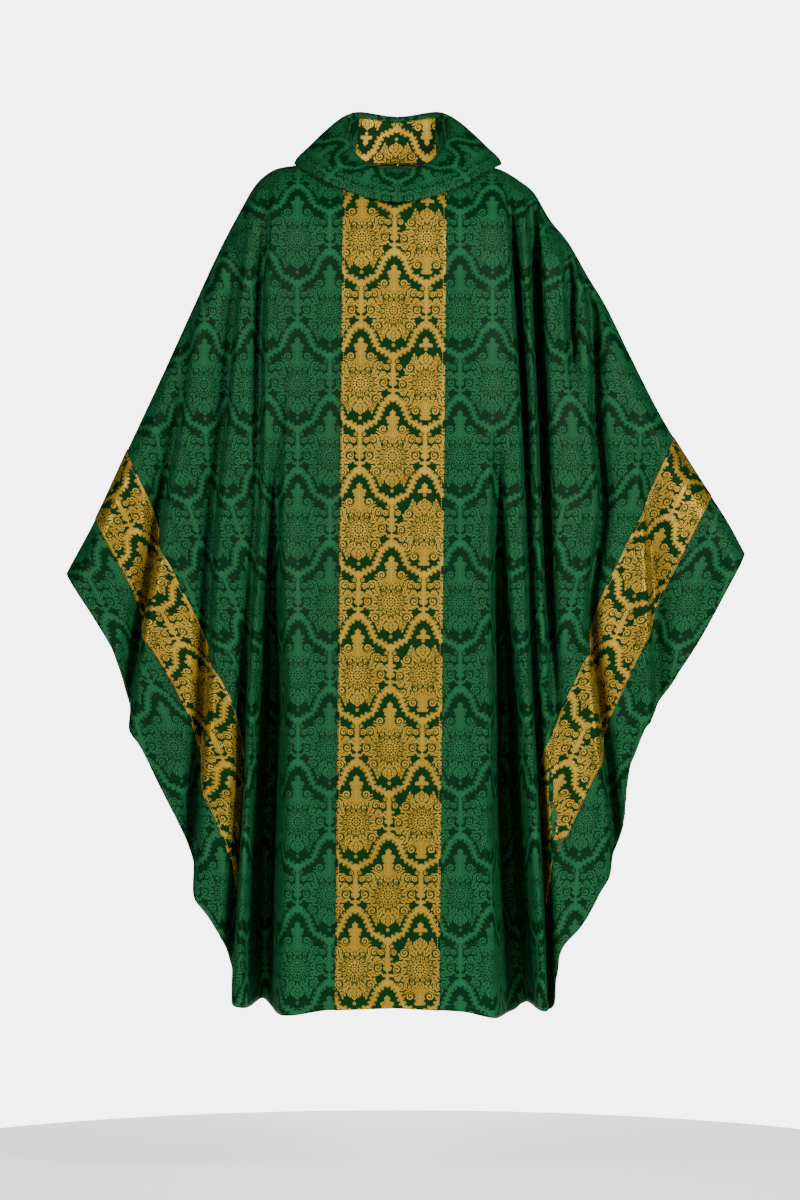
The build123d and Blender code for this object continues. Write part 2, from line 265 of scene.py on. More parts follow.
def drape(face, side, x, z):
    """Where cloth at x from the centre and height z hangs: signed x, y."""
    seam = ease(0.0, FOLD_GROWS_OVER, shoulder_z(face, side, x) - z)
    stand = base_stand(face, side, x, z) + slow_waves(face, side, x, z) * seam
    shift = np.zeros_like(x)
    for fold in FOLDS[(face, side)]:
        depth = smooth_line(fold["depth"], z) * seam
        q = x - smooth_line(fold["path"], z)
        near = half_width(fold["near"], z)
        wide = np.where(q < 0, near, half_width(fold["far"], z))
        valley = np.exp(-(np.abs(q / wide) ** np.where(q < 0, NEAR_STEEPNESS, FAR_STEEPNESS)))
        crest = hump((q + CREST_AT * near) / (CREST_WIDTH * near))
        stand = stand - depth * valley + np.minimum(CREST_SHARE * depth, CREST_LIMIT) * crest
        share = np.clip(depth / FULL_LEAN_DEPTH, 0.0, 1.0)
        shift = shift + fold["lean"] * near * share * hump((q + LEAN_AT * near) / (LEAN_WIDTH * near))
    return SIDES[side] * (x + shift), FACES[face] * stand


def read_grid(grid, places):
    """Values of a grid at fractional (row, column) places."""
    last = np.array(grid.shape[:2]) - 1
    places = np.clip(places, 0, last)
    i = np.minimum(places.astype(int), last - 1)
    part = places - i
    r, c = i[..., 0], i[..., 1]
    a, b = part[..., 0:1], part[..., 1:2]
    top = grid[r, c] * (1 - b) + grid[r, c + 1] * b
    bottom = grid[r + 1, c] * (1 - b) + grid[r + 1, c + 1] * b
    return top * (1 - a) + bottom * a


SECTION_X = np.linspace(0.0, 0.56, 561)
SECTION_Z = np.linspace(-1.32, 0.04, 171)


def taken_up(face, side):
    """How much cloth the folds have taken up between the centre line and each x, at each height."""
    x, z = np.meshgrid(SECTION_X, SECTION_Z)
    signed_x, y = drape(face, side, x, z)
    folded_y = np.abs(y) - base_stand(face, side, x, z)
    steps = np.hypot(np.diff(signed_x, axis=1), np.diff(folded_y, axis=1)) - np.diff(x, axis=1)
    return np.concatenate([np.zeros((len(SECTION_Z), 1)), np.cumsum(steps, axis=1)], axis=1)


# Spacing of a half face's columns, closer together near the centre and over the side folds than over the
# arm: shares of the columns, then of the way out
COLUMN_SPACING = [0, 0.24, 0.68, 1], [0, 0.12, 0.40, 1]
TOP_CROWDING = 0.10


def closer_at_top(rows):
    """Shares of the way down, closer together near the top edge."""
    even = np.linspace(0, 1, rows)
    return even * even / (even + TOP_CROWDING) * (1 + TOP_CROWDING)


def cloth_heights(y, z):
    """Cloth coordinate upwards: the hem's height, then the length of the cloth above it."""
    rises = np.hypot(np.diff(z, axis=0), np.diff(y, axis=0))
    climb = np.cumsum(rises[::-1], axis=0)[::-1]
    return np.concatenate([climb + z[-1:], z[-1:]], axis=0)


def half_face(face, side, inner_x, columns, rows):
    """A grid over one half of a face: places, cloth coordinates and the unfolded x of each point."""
    wrist = SLEEVE_EDGE[side][0]
    corner = HEM[side][-1]
    start = inner_x / np.hypot(*np.diff(np.array(HEM[side]), axis=0).T).sum()
    fine = np.interp(np.linspace(0, 1, columns), *COLUMN_SPACING)
    across, down = np.meshgrid(fine, closer_at_top(rows))

    # a patch between the top edge, the hem and the sleeve edge
    top_x = inner_x + (wrist[0] - inner_x) * across
    bottom_x, bottom_z = along(HEM[side], start + (1 - start) * across)
    sleeve_x, sleeve_z = along(SLEEVE_EDGE[side], down)

    def blend(top, bottom, sleeve, wrist_end, corner_end):
        ends = (1 - down) * top + down * bottom
        return ends + across * (sleeve - (1 - down) * wrist_end - down * corner_end)

    x = blend(top_x, bottom_x, sleeve_x, wrist[0], corner[0])
    z = blend(shoulder_z(face, side, top_x), bottom_z, sleeve_z, wrist[1], corner[1])
    z = np.minimum(z, shoulder_z(face, side, x))
    signed_x, y = drape(face, side, x, z)

    # cloth coordinates: across from the centre line, and up from the hem, both in metres
    section = (z - SECTION_Z[0]) / (SECTION_Z[1] - SECTION_Z[0])
    station = (x - SECTION_X[0]) / (SECTION_X[1] - SECTION_X[0])
    u = x + read_grid(taken_up(face, side)[..., None], np.dstack([section, station]))[..., 0]
    v = cloth_heights(base_stand(face, side, x, z), z)
    return np.dstack([signed_x, y, z]), np.dstack([SIDES[side] * u, v]), x


# ---- meshes

def grid_mesh(name, places, cloth, flip=False):
    """A mesh over a grid of places, with its cloth coordinates as the UV map."""
    rows, columns = places.shape[:2]
    index = np.arange(rows * columns).reshape(rows, columns)
    corners = [index[:-1, :-1], index[:-1, 1:], index[1:, 1:], index[1:, :-1]]
    quads = np.stack(corners, axis=-1).reshape(-1, 4)
    if flip:
        quads = quads[:, ::-1]
    mesh = bpy.data.meshes.new(name)
    mesh.from_pydata(places.reshape(-1, 3).tolist(), [], quads.tolist())
    uv = mesh.uv_layers.new(name="cloth")
    loops = np.empty(len(mesh.loops), dtype=np.int32)
    mesh.loops.foreach_get("vertex_index", loops)
    uv.data.foreach_set("uv", cloth.reshape(-1, 2)[loops].ravel())
    mesh.polygons.foreach_set("use_smooth", np.ones(len(mesh.polygons), dtype=bool))
    mesh.update()
    piece = bpy.data.objects.new(name, mesh)
    bpy.context.scene.collection.objects.link(piece)
    return piece


def moved_out(places, distance, face):
    """The same grid moved outwards along its normals."""
    across = np.gradient(places, axis=1)
    down = np.gradient(places, axis=0)
    normals = np.cross(across, down)
    normals /= np.maximum(np.linalg.norm(normals, axis=2, keepdims=True), 1e-9)
    outward = np.sign(normals[..., 1:2].mean()) * FACES[face]
    return places + normals * distance * outward


def whole_face(left, right):
    """One grid over both halves of a face, from the left sleeve to the right one."""
    return np.concatenate([left[:, ::-1], right[:, 1:]], axis=1)


# ---- node arithmetic

class Field:
    """A value in a node tree, so that patterns can be written as formulas."""

    def __init__(self, tree, source):
        self.tree = tree
        self.source = source

    def apply(self, operation, *others, clamp=False):
        node = self.tree.nodes.new("ShaderNodeMath")
        node.operation = operation
        node.use_clamp = clamp
        for socket, value in zip(node.inputs, (self, *others)):
            if isinstance(value, Field):
                self.tree.links.new(value.source, socket)
            else:
                socket.default_value = value
        return Field(self.tree, node.outputs[0])

    def unless(self, other):
        """This, with the other cut out of it."""
        return self.apply("SUBTRACT", other, clamp=True)

    def curve(self, points, low, high, top):
        """A smooth curve of this value through listed points: points are (value, result), between low and
        high.
        """
        node = self.tree.nodes.new("ShaderNodeFloatCurve")
        scaled = (self - low) / (high - low)
        self.tree.links.new(scaled.source, node.inputs["Value"])
        line = node.mapping.curves[0]
        line.points[0].location = ((points[0][0] - low) / (high - low), points[0][1] / top)
        line.points[1].location = ((points[-1][0] - low) / (high - low), points[-1][1] / top)
        for value, result in points[1:-1]:
            line.points.new((value - low) / (high - low), result / top)
        node.mapping.update()
        return Field(self.tree, node.outputs[0]) * top


def operation_method(operation):
    return lambda self, *others: self.apply(operation, *others)


for method, operation in {
    "__add__": "ADD", "__sub__": "SUBTRACT", "__mul__": "MULTIPLY", "__truediv__": "DIVIDE",
    "above": "GREATER_THAN", "below": "LESS_THAN", "either": "MAXIMUM", "both": "MULTIPLY",
    "size": "ABSOLUTE", "sine": "SINE", "cosine": "COSINE", "floor": "FLOOR",
}.items():
    setattr(Field, method, operation_method(operation))


def length_of(a, b):
    return (a * a + b * b).apply("SQRT")


# ---- damask pattern, in millimetres of cloth

COLUMN = 50.0
REPEAT = 224.0
LEAVES = 7.0
MEDALLION_EDGE = [(0, 34), (14, 36), (27, 42), (45, 46), (60, 42), (77, 41), (90, 39), (103, 38),
    (118, 35), (130, 36), (143, 40), (155, 44), (170, 43), (180, 47)]
STEM_WIDTH = [(-56, 7.5), (-52, 8.0), (-49, 3.0), (-45, 3.6), (-42, 1.0), (-39, 0.0), (-28, 0.0),
    (-25, 5.0), (-21, 7.5), (-17, 4.0), (-14, 2.0), (-11, 6.5), (-8, 3.0), (-6, 0.6), (-3, 3.6), (2, 5.2),
    (4, 3.0), (8, 5.6), (10, 3.0), (15, 6.6), (18, 2.6), (24, 3.0), (30, 4.2), (35, 2.6), (40, 4.0),
    (44, 7.0), (48, 0.0), (56, 0.0)]
CROWN_WIDTH = [(28, 0.0), (31, 9.0), (35, 14.0), (39, 9.0), (42, 13.0), (46, 10.5), (49, 6.0), (52, 9.0),
    (56, 7.5), (60, 7.5)]
ARMS = [((24.8, 56.0), (49.6, 41.5)), ((50.0, -21.0), (36.0, -30.0)), ((36.0, -29.0), (24.8, -56.5))]


def scroll(figure, x, y, centre, radius, turn, pitch=4.2):
    """Lays a volute over the figure, with a thin dark moat round it."""
    dx = x - centre[0]
    dy = y - centre[1]
    out = length_of(dx, dy)
    angle = dy.apply("ARCTAN2", dx) * turn
    arm = (angle + out * (2 * math.pi / pitch)).sine().above(-0.1)
    return figure.both(out.above(radius + 1.2)).either(arm.both(out.below(radius)))


def rosette(figure, x, y, centre, radius, petals=6.0):
    dx = x - centre[0]
    dy = y - centre[1]
    out = length_of(dx, dy)
    angle = dy.apply("ARCTAN2", dx)
    edge = (angle * petals).cosine() * (0.18 * radius) + 0.82 * radius
    flower = out.below(edge).unless(out.above(0.3 * radius).both(out.below(0.5 * radius)))
    return figure.both(out.above(radius + 0.7)).either(flower)


def medallion(x, y):
    """Half of a palmette medallion: leaves round a rosette, with volutes at their tips."""
    out = length_of(x, y)
    turn = x.apply("ARCTAN2", y)
    edge = (turn * (180 / math.pi)).curve(MEDALLION_EDGE, 0, 180, 60)
    turn = turn + (out * 0.21).sine() * 0.10
    lobes = (turn * (2 * LEAVES)).cosine()
    edge = edge + lobes * 3.4 + (turn * (6 * LEAVES)).cosine() * 1.7 + 0.8
    inside = out.below(edge)
    # two rings of leaves, the inner ones between the outer ones
    inner = out.below(lobes * -2.6 + 20.0)
    leaf = (turn * (LEAVES / math.pi)).apply("PINGPONG", 0.5)
    leaf = (leaf - inner * 0.5).size()
    beside = leaf * out * (math.pi / LEAVES)
    half_leaf = out * (0.5 * math.pi / LEAVES)
    wave = (out * 1.3).sine() * 0.55
    between = (half_leaf - beside).below(wave + 0.75)
    ring = (out + lobes * 2.6 - 20.0).size().below(0.75)
    midrib = beside.below(0.62).both(out.above(11.0)).both((edge - out).above(6.0))
    chevrons = (out - beside * 1.5) * (2 * math.pi / 5.4)
    veins = chevrons.sine().above(0.62).both(beside.above(1.0)).both(out.above(10.0))
    figure = inside.unless(between).unless(midrib).unless(veins).unless(ring)
    crown_width = y.curve(CROWN_WIDTH, 28, 60, 12)
    crown_veins = ((y - x * 1.3) * (2 * math.pi / 4.6)).sine().above(0.6).both(x.above(0.8))
    crown = x.below(crown_width).both(y.above(29.0))
    moat = x.below(crown_width + 1.1).both(y.above(29.0))
    figure = figure.unless(moat).either(crown.unless(crown_veins))
    for centre, radius, way in (
        ((14.5, 42.0), 6.2, 1.0), ((35.5, 1.5), 5.6, -1.0), ((24.0, -24.0), 6.2, 1.0),
        ((30.0, 25.0), 5.0, 1.0), ((12.5, 21.0), 3.6, -1.0),
    ):
        figure = scroll(figure, x, y, centre, radius, way)
    figure = rosette(figure, x, y, (0.0, 0.0), 6.4, 8.0)
    figure = rosette(figure, x, y, (19.0, -38.0), 3.4)
    return rosette(figure, x, y, (0.0, -53.0), 3.0)


def stem(q, y):
    """Half of the upright spray between the medallions, q from its middle."""
    width = y.curve(STEM_WIDTH, -56, 56, 12) * 1.3
    chevrons = ((y - q * 1.3) * (2 * math.pi / 4.4)).sine().above(0.72).both(q.above(0.7))
    figure = q.below(width).unless(chevrons)
    figure = scroll(figure, q, y, (9.0, 24.5), 4.8, -1.0, 3.0)
    return scroll(figure, q, y, (6.6, 33.5), 3.0, 1.0, 2.6)


def garland(x, y, start, end):
    """A straight run of the leafy frame."""
    run = math.dist(start, end)
    ex, ey = (end[0] - start[0]) / run, (end[1] - start[1]) / run
    s = (x - start[0]) * ex + (y - start[1]) * ey
    n = ((y - start[1]) * ex - (x - start[0]) * ey).size()
    width = (s * (math.pi / 7.4)).sine().size() * 4.8 + 1.6
    cuts = ((s + n * 0.9) * (2 * math.pi / 3.7)).sine().above(0.60).both(n.above(0.8))
    return n.below(width).both(s.above(-1.0)).both(s.below(run + 1.0)).unless(cuts)


def make_damask_group():
    """A node group that turns cloth coordinates into the woven figure: 1 on the figure, 0 on the ground."""
    tree = bpy.data.node_groups.new("damask figure", "ShaderNodeTree")
    tree.interface.new_socket("Cloth", in_out="INPUT", socket_type="NodeSocketVector")
    tree.interface.new_socket("Turned", in_out="INPUT", socket_type="NodeSocketFloat")
    tree.interface.new_socket("Figure", in_out="OUTPUT", socket_type="NodeSocketFloat")
    entry = tree.nodes.new("NodeGroupInput")
    split = tree.nodes.new("ShaderNodeSeparateXYZ")
    tree.links.new(entry.outputs["Cloth"], split.inputs[0])
    u = Field(tree, split.outputs[0]) * 1000.0
    v = Field(tree, split.outputs[1]) * 1000.0
    # the half-drop lattice, folded into one quarter of a medallion's cell
    row = (v / (REPEAT / 2) + 0.5).floor()
    y = v - row * (REPEAT / 2)
    odd = row.apply("FLOORED_MODULO", 2.0)
    x = (odd * COLUMN - u.apply("PINGPONG", COLUMN)).size()
    pair = (u / (2 * COLUMN)).floor().apply("FLOORED_MODULO", 2.0)
    turned = odd.unless(pair) * Field(tree, entry.outputs["Turned"])
    medallion_y = y * (turned * -2.0 + 1.0)
    q = (x * -1.0 + COLUMN).size()
    figure = medallion(x, medallion_y).either(stem(q, y))
    for start, end in ARMS:
        figure = figure.either(garland(x, y, start, end))
    exit_node = tree.nodes.new("NodeGroupOutput")
    tree.links.new(figure.source, exit_node.inputs["Figure"])
    return tree


PATTERN_RISE = 0.662
WEFT_PITCH = 0.0011
WARP_PITCH = 0.0008
damask = make_damask_group()


def new_material(name):
    material = bpy.data.materials.new(f"{name}_look")
    material.use_nodes = True
    return material, material.node_tree, material.node_tree.nodes["Principled BSDF"]


def link_or_set(tree, value, socket):
    if isinstance(value, Field):
        value = value.source
    if isinstance(value, bpy.types.NodeSocket):
        tree.links.new(value, socket)
    else:
        socket.default_value = value


def set_inputs(tree, node, values):
    for name, value in values.items():
        link_or_set(tree, value, node.inputs[name])


def mix_colour(tree, factor, first, second):
    """first where factor is 0 and second where it is 1; each is a colour or a socket."""
    node = tree.nodes.new("ShaderNodeMix")
    node.data_type = "RGBA"
    set_inputs(tree, node, {0: factor, 6: first, 7: second})
    return node.outputs[2]


def noise(tree, vector, scale, detail=2.0):
    node = tree.nodes.new("ShaderNodeTexNoise")
    set_inputs(tree, node, {"Vector": vector, "Scale": scale, "Detail": detail})
    return Field(tree, node.outputs["Fac"])


def cloth_axes(tree):
    """The cloth coordinates, then each of them on its own: across and up."""
    uv = tree.nodes.new("ShaderNodeUVMap")
    uv.uv_map = "cloth"
    split = tree.nodes.new("ShaderNodeSeparateXYZ")
    tree.links.new(uv.outputs["UV"], split.inputs[0])
    return uv.outputs["UV"], Field(tree, split.outputs[0]), Field(tree, split.outputs[1])


def ripple(angle):
    """A sine between 0 and 1."""
    return angle.sine() * 0.5 + 0.5


def add_bump(tree, shader, height, strength, distance):
    bump = tree.nodes.new("ShaderNodeBump")
    set_inputs(tree, bump, {"Strength": strength, "Distance": distance, "Height": height})
    tree.links.new(bump.outputs["Normal"], shader.inputs["Normal"])


def cloth_material(name, ground, figure, figure_highlight, gold=False):
    """Damask: a figure woven on a satin ground, with thread texture and slow changes of tone; the figure's
    lighter colour is a painted highlight, laid on the weft threads where the noise tone is high.
    """
    material, tree, shader = new_material(name)
    cloth, u, v = cloth_axes(tree)
    place = tree.nodes.new("ShaderNodeVectorMath")
    place.operation = "ADD"
    set_inputs(tree, place, {0: cloth, 1: (0.0, PATTERN_RISE, 0.0)})
    pattern = tree.nodes.new("ShaderNodeGroup")
    pattern.node_tree = damask
    set_inputs(tree, pattern, {"Cloth": place.outputs[0], "Turned": float(gold)})
    woven = Field(tree, pattern.outputs["Figure"])
    weft = ripple(v * (2 * math.pi / WEFT_PITCH) + noise(tree, cloth, 90.0) * 3.0)
    warp = ripple(u * (2 * math.pi / WARP_PITCH))
    tone = noise(tree, cloth, 26.0, 3.0)
    # painted highlight: the figure's colour goes towards its highlight colour on the crowns of the weft
    # threads, more where the noise tone is high
    bright = mix_colour(tree, tone * weft, figure, figure_highlight)
    ground_tone = mix_colour(tree, tone * warp, ground, [1.5 * c for c in ground[:3]] + [1.0])
    set_inputs(tree, shader, {
        "Base Color": mix_colour(tree, woven, ground_tone, bright),
        "Roughness": woven * (-0.14 if gold else 0.10) + (0.55 if gold else 0.46),
        "Metallic": woven * 0.45 if gold else 0.0,
        "Sheen Weight": 0.02,
        "Sheen Roughness": 0.4,
        "Sheen Tint": figure_highlight,
        "Specular IOR Level": 0.06,
    })
    add_bump(tree, shader, weft * warp + tone, 0.25, 0.0004)
    return material


def plain_material(name, colour, light, rough, pitch=0.0009):
    """Plain woven cloth with visible threads and a little unevenness."""
    material, tree, shader = new_material(name)
    cloth, u, v = cloth_axes(tree)
    weft, warp = (ripple(axis * (2 * math.pi / pitch)) for axis in (v, u))
    tone = noise(tree, cloth, 40.0, 3.0)
    shade = mix_colour(tree, tone, colour, light)
    set_inputs(tree, shader, {"Base Color": shade, "Roughness": rough, "Sheen Weight": 0.15})
    add_bump(tree, shader, weft * warp + tone * 0.5, 0.3, 0.0003)
    return material


def uneven_colour(tree, scale, detail, first, second):
    """A colour that wanders between two, over the piece's own coordinates."""
    place = tree.nodes.new("ShaderNodeTexCoord").outputs["Object"]
    return mix_colour(tree, noise(tree, place, scale, detail), first, second)


def thread_material(name, dark, light):
    """Twisted sewing thread."""
    material, tree, shader = new_material(name)
    shade = uneven_colour(tree, 900.0, 1.0, dark, light)
    set_inputs(tree, shader, {"Base Color": shade, "Roughness": 0.5})
    return material


def floor_material():
    material, tree, shader = new_material("pale_floor")
    shade = uneven_colour(tree, 3.0, 2.0, (0.86, 0.86, 0.85, 1), (0.9, 0.9, 0.89, 1))
    glow = {"Emission Color": (1, 1, 1, 1), "Emission Strength": 0.9}
    set_inputs(tree, shader, {"Base Color": shade, "Roughness": 0.9, **glow})
    return material


# Each material's maker and what it takes: its colours (for damask the ground, the figure and the figure's
# painted highlight), then True for gold damask, or for plain cloth the roughness and the thread pitch
LOOKS = {
    "green_damask": (cloth_material, (0.0004, 0.020, 0.005, 1), (0.010, 0.090, 0.031, 1),
                     (0.027, 0.175, 0.064, 1)),
    "gold_brocade": (cloth_material, (0.0006, 0.024, 0.003, 1), (0.36, 0.20, 0.012, 1),
                     (0.88, 0.60, 0.09, 1), True),
    "lining_cloth": (plain_material, (0.004, 0.040, 0.012, 1), (0.012, 0.075, 0.028, 1), 0.4),
    "interlining_cloth": (plain_material, (0.62, 0.60, 0.54, 1), (0.75, 0.73, 0.68, 1), 0.9),
    "seam_tape": (plain_material, (0.01, 0.07, 0.025, 1), (0.02, 0.11, 0.04, 1), 0.7),
    "label_cloth": (plain_material, (0.68, 0.66, 0.60, 1), (0.80, 0.78, 0.72, 1), 0.6, 0.0006),
    "green_thread": (thread_material, (0.006, 0.05, 0.016, 1), (0.03, 0.14, 0.055, 1)),
    "gold_thread": (thread_material, (0.30, 0.20, 0.05, 1), (0.62, 0.47, 0.18, 1)),
}
MATERIALS = {name: make(name, *look) for name, (make, *look) in LOOKS.items()}

# ---- pieces of the garment

# Distances from the face's surface: inwards for lining and facings, outwards for trims
LINING_IN = -0.0017
FACING_IN = -0.0030
TRIM_OUT = 0.0012
CLOTH_THICKNESS = 0.0009
THIN_CLOTH = 0.0005
GRID_COLUMNS = 250
GRID_ROWS = 210
LINING_COLUMNS = 200
LINING_ROWS = 150
# The hem facing lies behind the skirt, over this span of the lining's width and this many of its last rows
HEM_FACING_SPAN = (0.22, 0.78)
HEM_FACING_ROWS = 9
# The rows and columns of a panel that its sleeve facing lies behind
SLEEVE_FACING = (slice(8, -2), slice(-16, None))


def add_sheet(node, places, cloth, flip, slot, thickness=CLOTH_THICKNESS):
    """A cloth piece over a grid, with its thickness and material, and its place in the frame."""
    piece = grid_mesh(f"{node}_cloth", places, cloth, flip)
    solid = piece.modifiers.new("cloth thickness", "SOLIDIFY")
    solid.thickness = thickness
    solid.offset = 0.0
    solid.use_even_offset = False
    piece.data.materials.append(MATERIALS[slot])
    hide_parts(node)
    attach(piece, "root")


def make_panels():
    for (face, side), (places, cloth, _) in HALF.items():
        flip = SIDES[side] * FACES[face] > 0
        add_sheet(f"{face}_{side}_panel", places, cloth, flip, "green_damask")


def make_linings():
    for face in FACES:
        halves = [half_face(face, side, 0.0, LINING_COLUMNS, LINING_ROWS) for side in SIDES]
        places, cloth, _ = (whole_face(left, right) for left, right in zip(*halves))
        flip = FACES[face] > 0
        lining = moved_out(places, LINING_IN, face)
        add_sheet(f"{face}_lining", lining, cloth, flip, "lining_cloth", THIN_CLOTH)
        skirt = slice(*(int(places.shape[1] * share) for share in HEM_FACING_SPAN))
        strip = moved_out(places, FACING_IN, face)[-HEM_FACING_ROWS:, skirt]
        strip_cloth = cloth[-HEM_FACING_ROWS:, skirt]
        add_sheet(f"{face}_hem_facing", strip, strip_cloth, flip, "green_damask", THIN_CLOTH)


def make_sleeve_facings():
    for (face, side), (places, cloth, _) in HALF.items():
        edge = moved_out(places, FACING_IN, face)[SLEEVE_FACING]
        flip = SIDES[side] * FACES[face] > 0
        node = f"{face}_{side}_sleeve_facing"
        add_sheet(node, edge, cloth[SLEEVE_FACING], flip, "green_damask", THIN_CLOTH)


def hem_z(x):
    """Height of the hem at a signed distance from the centre line."""
    left, right = (smooth_line(HEM[side][:3], np.abs(x)) for side in SIDES)
    return np.where(x < 0, left, right)


ORPHREY_ROWS = 200
ORPHREY_COLUMNS = 41
# The orphrey starts this far below the neck seam, and ends this far below the panels' hem
ORPHREY_TOP_DROP = 0.004
ORPHREY_HEM_DROP = 0.0006
# The two sides' cloth is blended over this distance each way from the centre line
CENTRE_BLEND = 0.02


def make_orphreys():
    """The centre strips: each lies on the edges of its panels and joins them."""
    across, down = np.meshgrid(np.linspace(-1, 1, ORPHREY_COLUMNS), closer_at_top(ORPHREY_ROWS))
    for face in FACES:
        x = across * ORPHREY_HALF_WIDTH + ORPHREY_LEAN * down
        top = shoulder_z(face, "left", np.abs(x)) - ORPHREY_TOP_DROP
        z = top + (hem_z(x) - ORPHREY_HEM_DROP - top) * down
        _, left_y = drape(face, "left", np.maximum(-x, 0), z)
        _, right_y = drape(face, "right", np.maximum(x, 0), z)
        share = ease(-CENTRE_BLEND, CENTRE_BLEND, x)
        y = left_y * (1 - share) + right_y * share
        places = moved_out(np.dstack([x, y, z]), TRIM_OUT, face)
        cloth = np.dstack([across * ORPHREY_HALF_WIDTH, cloth_heights(y, z)])
        flip = FACES[face] > 0
        add_sheet(f"{face}_orphrey", places, cloth, flip, "gold_brocade", CLOTH_THICKNESS)
        ORPHREY[face] = places


# The centre line of each sleeve band, as two places (distance from the centre line, height)
BAND_LINE = {"left": [(0.4435, -0.4805), (0.243, -0.985)], "right": [(0.4615, -0.4565), (0.2255, -1.028)]}
BAND_HALF_WIDTH = 0.048
BAND_ROWS = 240
BAND_COLUMNS = 33
# The fold that the bands go under, counting from 0 at the centre
BAND_END_FOLD = 1
# The share of the cloth that a fold takes up by which a band breaks there
BAND_BREAK = 0.42
# How far the band's pattern follows the slant of its top edge
BAND_SLANT = 0.9


def strip_places(face, side):
    """Grid places of a slanted strip, from the arm line down to where it goes under the pipe fold."""
    places, cloth, flat_x = HALF[face, side]
    heights = places[..., 2]
    seen_x = flat_x + BAND_BREAK * (np.abs(cloth[..., 0]) - flat_x)
    ends = []
    for x, z in BAND_LINE[side]:
        miss = (flat_x - x) ** 2 + (heights - z) ** 2
        nearest = np.unravel_index(np.argmin(miss), miss.shape)
        ends.append(np.array([seen_x[nearest], z]))
    axis = (ends[1] - ends[0]) / np.linalg.norm(ends[1] - ends[0])
    aside = (seen_x - ends[0][0]) * -axis[1] + (heights - ends[0][1]) * axis[0]
    aside = np.maximum.accumulate(aside, axis=1)
    offsets = np.linspace(-BAND_HALF_WIDTH, BAND_HALF_WIDTH, BAND_COLUMNS)
    columns = np.arange(cloth.shape[1])
    crossing = np.array([np.interp(offsets, row, columns) for row in aside])
    end_line = smooth_line(FOLDS[face, side][BAND_END_FOLD]["path"], heights)
    under = np.argmax(flat_x > end_line, axis=1)
    hidden = crossing < under[:, None]
    hidden[: len(hidden) // 3] = False
    last = np.where(hidden.any(axis=0), np.argmax(hidden, axis=0), len(crossing) - 1)
    last = np.convolve(np.pad(last.astype(float), 2, mode="edge"), np.ones(5) / 5, mode="valid")
    rows = 1 + (last - 1) * np.linspace(0, 1, BAND_ROWS)[:, None]
    index = np.broadcast_to(np.arange(BAND_COLUMNS), rows.shape)
    found = read_grid(crossing[..., None], np.dstack([rows, index]))
    return np.dstack([rows, found]), offsets


def make_bands():
    """The slanted sleeve bands: straight as seen, with a small break where a fold takes up cloth."""
    i, j = BAND_ROWS // 2, BAND_COLUMNS // 2
    for face, side in HALF:
        found, offsets = strip_places(face, side)
        strip = read_grid(moved_out(HALF[face, side][0], TRIM_OUT, face), found)
        run = np.linalg.norm(np.diff(strip, axis=0), axis=2)
        v = -np.concatenate([np.zeros((1, run.shape[1])), np.cumsum(run, axis=0)])
        slant = (strip[0, :, 2] - strip[0, j, 2]) * BAND_SLANT
        cloth = np.dstack([np.broadcast_to(offsets, v.shape), v + slant])
        facing = np.cross(strip[i, j + 1] - strip[i, j], strip[i + 1, j] - strip[i, j])[1] * FACES[face]
        name = f"{face}_{side}_band"
        add_sheet(name, strip, cloth, facing > 0, "gold_brocade", CLOTH_THICKNESS)
        BAND[face, side] = strip


# ---- collar

RIM_HALF_WIDTH = 0.088
RIM_FRONT = 0.088
RIM_BACK = 0.072
RIM_HEIGHTS = [(0, 0.003), (37, 0.018), (62, 0.046), (90, 0.080), (125, 0.104), (180, 0.101)]
FALL_HALF_WIDTH = 0.162
FALL_FRONT = 0.121
FALL_BACK = 0.108
FALL_HEIGHTS = [(0, -0.047), (32, -0.025), (55, 0.002), (90, 0.025), (135, 0.018), (180, 0.008)]
SEAM_HEIGHTS = [(0, -0.025), (45, -0.014), (90, 0.013), (135, 0.023), (180, 0.028)]
COLLAR_CENTRE = np.array([0.004, 0, 0])
NECK_EASE = 0.009
BACK_INSERT_FROM = 132.0
COLLAR_COLUMNS = 190
FALL_ROWS = 64
FALL_THICKNESS = 0.0011
# The row of the fall that its stitching runs along
FALL_STITCH_ROW = 46
INTERLINING_ROWS = 12
INTERLINING_IN = 0.0030
BINDING_IN = 0.001
BINDING_DROPS = np.linspace(0.002, 0.014, 6)
FACING_COLUMNS = 90
FACING_ROWS = 24
# The facings' top edge, inwards and down from the rim
FACING_TOP_IN = 0.0078
FACING_TOP_DROP = np.array([0, 0, 0.004])
# A thin groove in the fall at its front and back seams: depth, and half width in degrees
GROOVE_DEPTH = 0.0014
GROOVE_WIDTH = 0.9

# The collar's profile: share of the way from the rim to the lower edge, then distances outwards and up
FALL_PROFILE = [(0.0, -0.0076, -0.0080), (0.0, -0.0066, -0.0015), (0.0, -0.0036, 0.0026),
                (0.02, 0.0022, 0.0034), (0.10, 0.0058, 0.0040), (0.30, 0.0064, 0.0052),
                (0.65, 0.0040, 0.0042), (0.97, 0.0004, 0.0006), (1.0, -0.0006, -0.0010),
                (0.985, -0.0026, -0.0004), (0.86, -0.0022, 0.0010)]
# The facings' profile: share of the way up from the neck seam, then distance outwards
FACING_PROFILE = [(0.0, 0.0), (0.35, -0.001), (0.75, -0.001), (0.97, 0.0)]


def round_height(heights, turn):
    """Height at a turn round the neck: 0 is the front, 90 the right, 180 the back."""
    turn = np.minimum(turn, 360 - turn)
    before = (-heights[1][0], heights[1][1])
    after = (360 - heights[-2][0], heights[-2][1])
    return smooth_line([before, *heights, after], turn)


